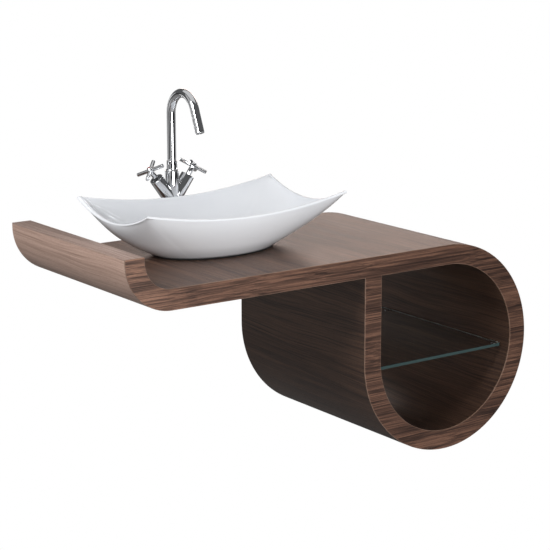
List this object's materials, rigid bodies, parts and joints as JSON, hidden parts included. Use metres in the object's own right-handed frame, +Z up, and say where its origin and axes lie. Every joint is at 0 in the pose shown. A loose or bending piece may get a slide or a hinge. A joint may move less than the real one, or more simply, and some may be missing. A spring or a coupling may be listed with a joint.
{
  "type": "vessel sink on vanity",
  "caption": "Wall-hung walnut washstand whose band rolls into a storage loop, with a four-cornered vessel basin, press waste and mixer tap with cross handles.",
  "frame": {"origin": "middle of the counter's rear edge, on the wall face, half-way up the counter's thickness", "axes": "+X to the right along the wall seen from the front, +Y into the wall, +Z up; the front faces -Y"},
  "size_m": [1.2, 0.53, 0.9139],
  "materials": {
    "walnut_face": "satin lacquered walnut veneer, grain front to back",
    "walnut_edge": "satin lacquered walnut edge, grain across the front",
    "beech_tongue": "bare plywood tongue",
    "shelf_glass": "clear float glass with polished edges",
    "pin_steel": "steel shelf pin",
    "bracket_steel": "satin black powder coat",
    "zinc_screw": "bright zinc plated",
    "glazed_ceramic": "gloss white glaze",
    "chrome": "mirror chrome plate",
    "brass": "turned brass",
    "black_rubber": "matt black rubber",
    "white_nylon": "moulded nylon"
  },
  "bodies": {
    "root": {"lip_bend": "walnut_face", "counter_panel": "walnut_face", "loop_shell": "walnut_face", "divider_panel": "walnut_face", "front_facing": "walnut_edge", "lip_top_edging": "walnut_edge", "lip_tongue": "beech_tongue", "loop_tongue": "beech_tongue", "divider_top_tongue": "beech_tongue", "divider_foot_tongue": "beech_tongue", "glass_shelf": "shelf_glass", "shelf_pin_front_left": "pin_steel", "shelf_pin_front_right": "pin_steel", "shelf_pin_rear_left": "pin_steel", "shelf_pin_rear_right": "pin_steel", "wall_bracket_left": "bracket_steel", "wall_bracket_right": "bracket_steel", "bracket_screw_left_rear": "zinc_screw", "bracket_screw_left_front": "zinc_screw", "bracket_screw_right_rear": "zinc_screw", "bracket_screw_right_front": "zinc_screw", "loop_hanger_plate": "bracket_steel", "hanger_screw_left": "zinc_screw", "hanger_screw_right": "zinc_screw", "basin": "glazed_ceramic", "basin_seal": "black_rubber", "waste_body": "chrome", "waste_top_seal": "black_rubber", "waste_under_washer": "black_rubber", "waste_backnut": "brass", "tap_body": "chrome", "tap_base_ring": "chrome", "tap_base_seal": "black_rubber", "tap_shank": "brass", "tap_under_washer": "black_rubber", "tap_clamp_washer": "zinc_screw", "tap_backnut": "brass", "spout_collar": "chrome", "hot_cartridge": "brass", "cold_cartridge": "brass"},
    "spout": {"spout_tube": "chrome", "spout_bush": "white_nylon", "spout_o_ring": "black_rubber", "aerator_housing": "chrome", "aerator_insert": "white_nylon"},
    "hot_handle": {"hot_spindle": "brass", "hot_neck": "chrome", "hot_cross_handle": "chrome", "hot_handle_screw": "zinc_screw", "hot_index_cap": "chrome"},
    "cold_handle": {"cold_spindle": "brass", "cold_neck": "chrome", "cold_cross_handle": "chrome", "cold_handle_screw": "zinc_screw", "cold_index_cap": "chrome"},
    "plug": {"waste_plug_cap": "chrome", "waste_plug_seal": "black_rubber", "waste_plug_spindle": "brass"}
  },
  "joints": [
    {"name": "spout_swivel", "type": "hinge", "parent": "root", "child": "spout", "pos_m": [-0.172, -0.047, 0.197], "axis": [0, 0, 1], "range_deg": [-60, 60]},
    {"name": "hot_turn", "type": "hinge", "parent": "root", "child": "hot_handle", "pos_m": [-0.172, -0.047, 0.116], "axis": [-0.5878, 0, 0.809], "range_deg": [0, 90]},
    {"name": "cold_turn", "type": "hinge", "parent": "root", "child": "cold_handle", "pos_m": [-0.172, -0.047, 0.116], "axis": [0.5878, 0, 0.809], "range_deg": [-90, 0]},
    {"name": "plug_lift", "type": "slide", "parent": "root", "child": "plug", "axis": [0, 0, 1], "range_m": [0, 0.008]}
  ]
}
